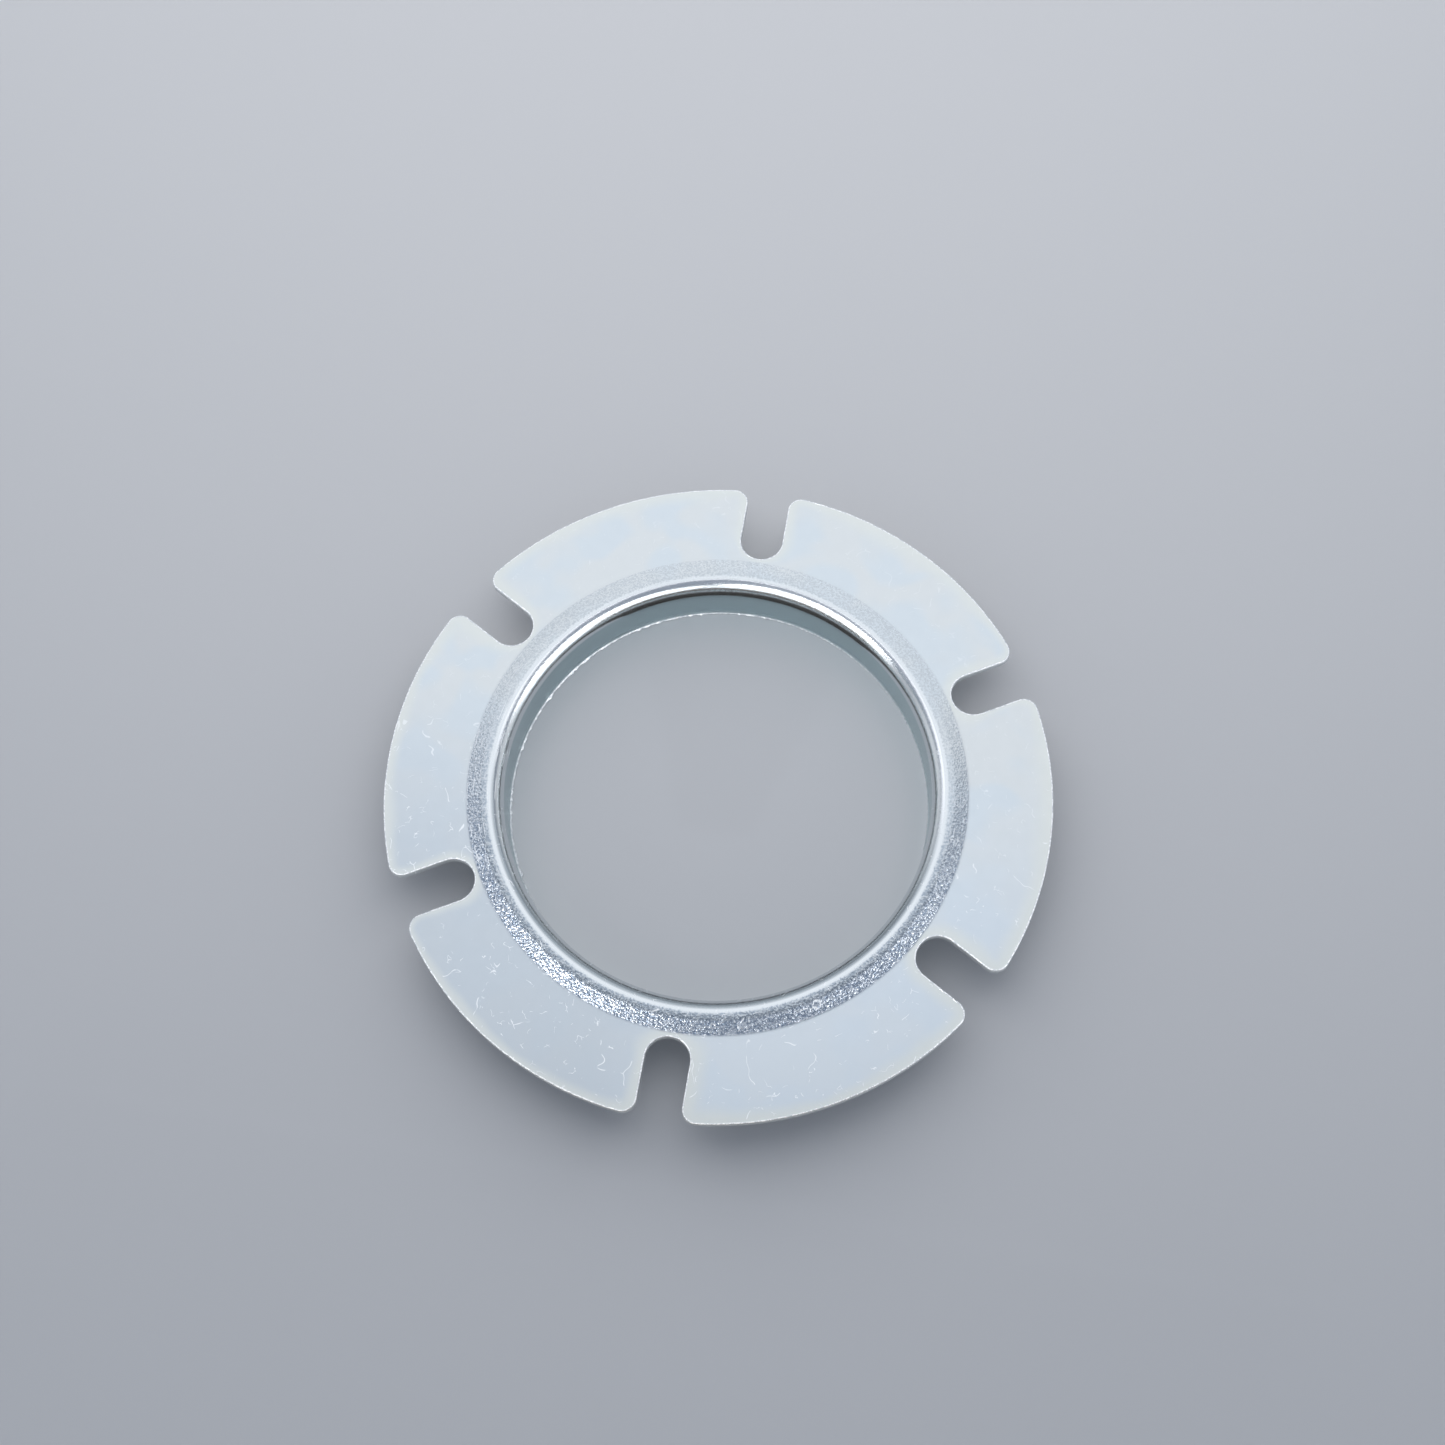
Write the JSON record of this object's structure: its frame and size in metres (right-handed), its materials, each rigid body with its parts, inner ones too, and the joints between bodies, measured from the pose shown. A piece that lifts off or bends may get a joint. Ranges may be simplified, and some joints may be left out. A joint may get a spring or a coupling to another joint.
{
  "type": "flanged collar",
  "caption": "Pressed sheet-steel flanged collar: a flat ring flange with open radial bolt slots, a raised band and rounded lip, and a short straight collar behind it.",
  "frame": {"origin": "on the collar's axis, at the collar's cut end, which is the lowest plane", "axes": "+Z along the axis, from the collar's cut end towards the flange's front side; one slot lies along +Y"},
  "size_m": [0.14, 0.1392, 0.0128],
  "materials": {
    "zinc_plate": "satin blue-white zinc plate on cold-drawn sheet steel, finely scratched, with a granular stretched band and a burnished lip"
  },
  "bodies": {
    "root": {"flanged_collar": "zinc_plate"}
  },
  "joints": []
}
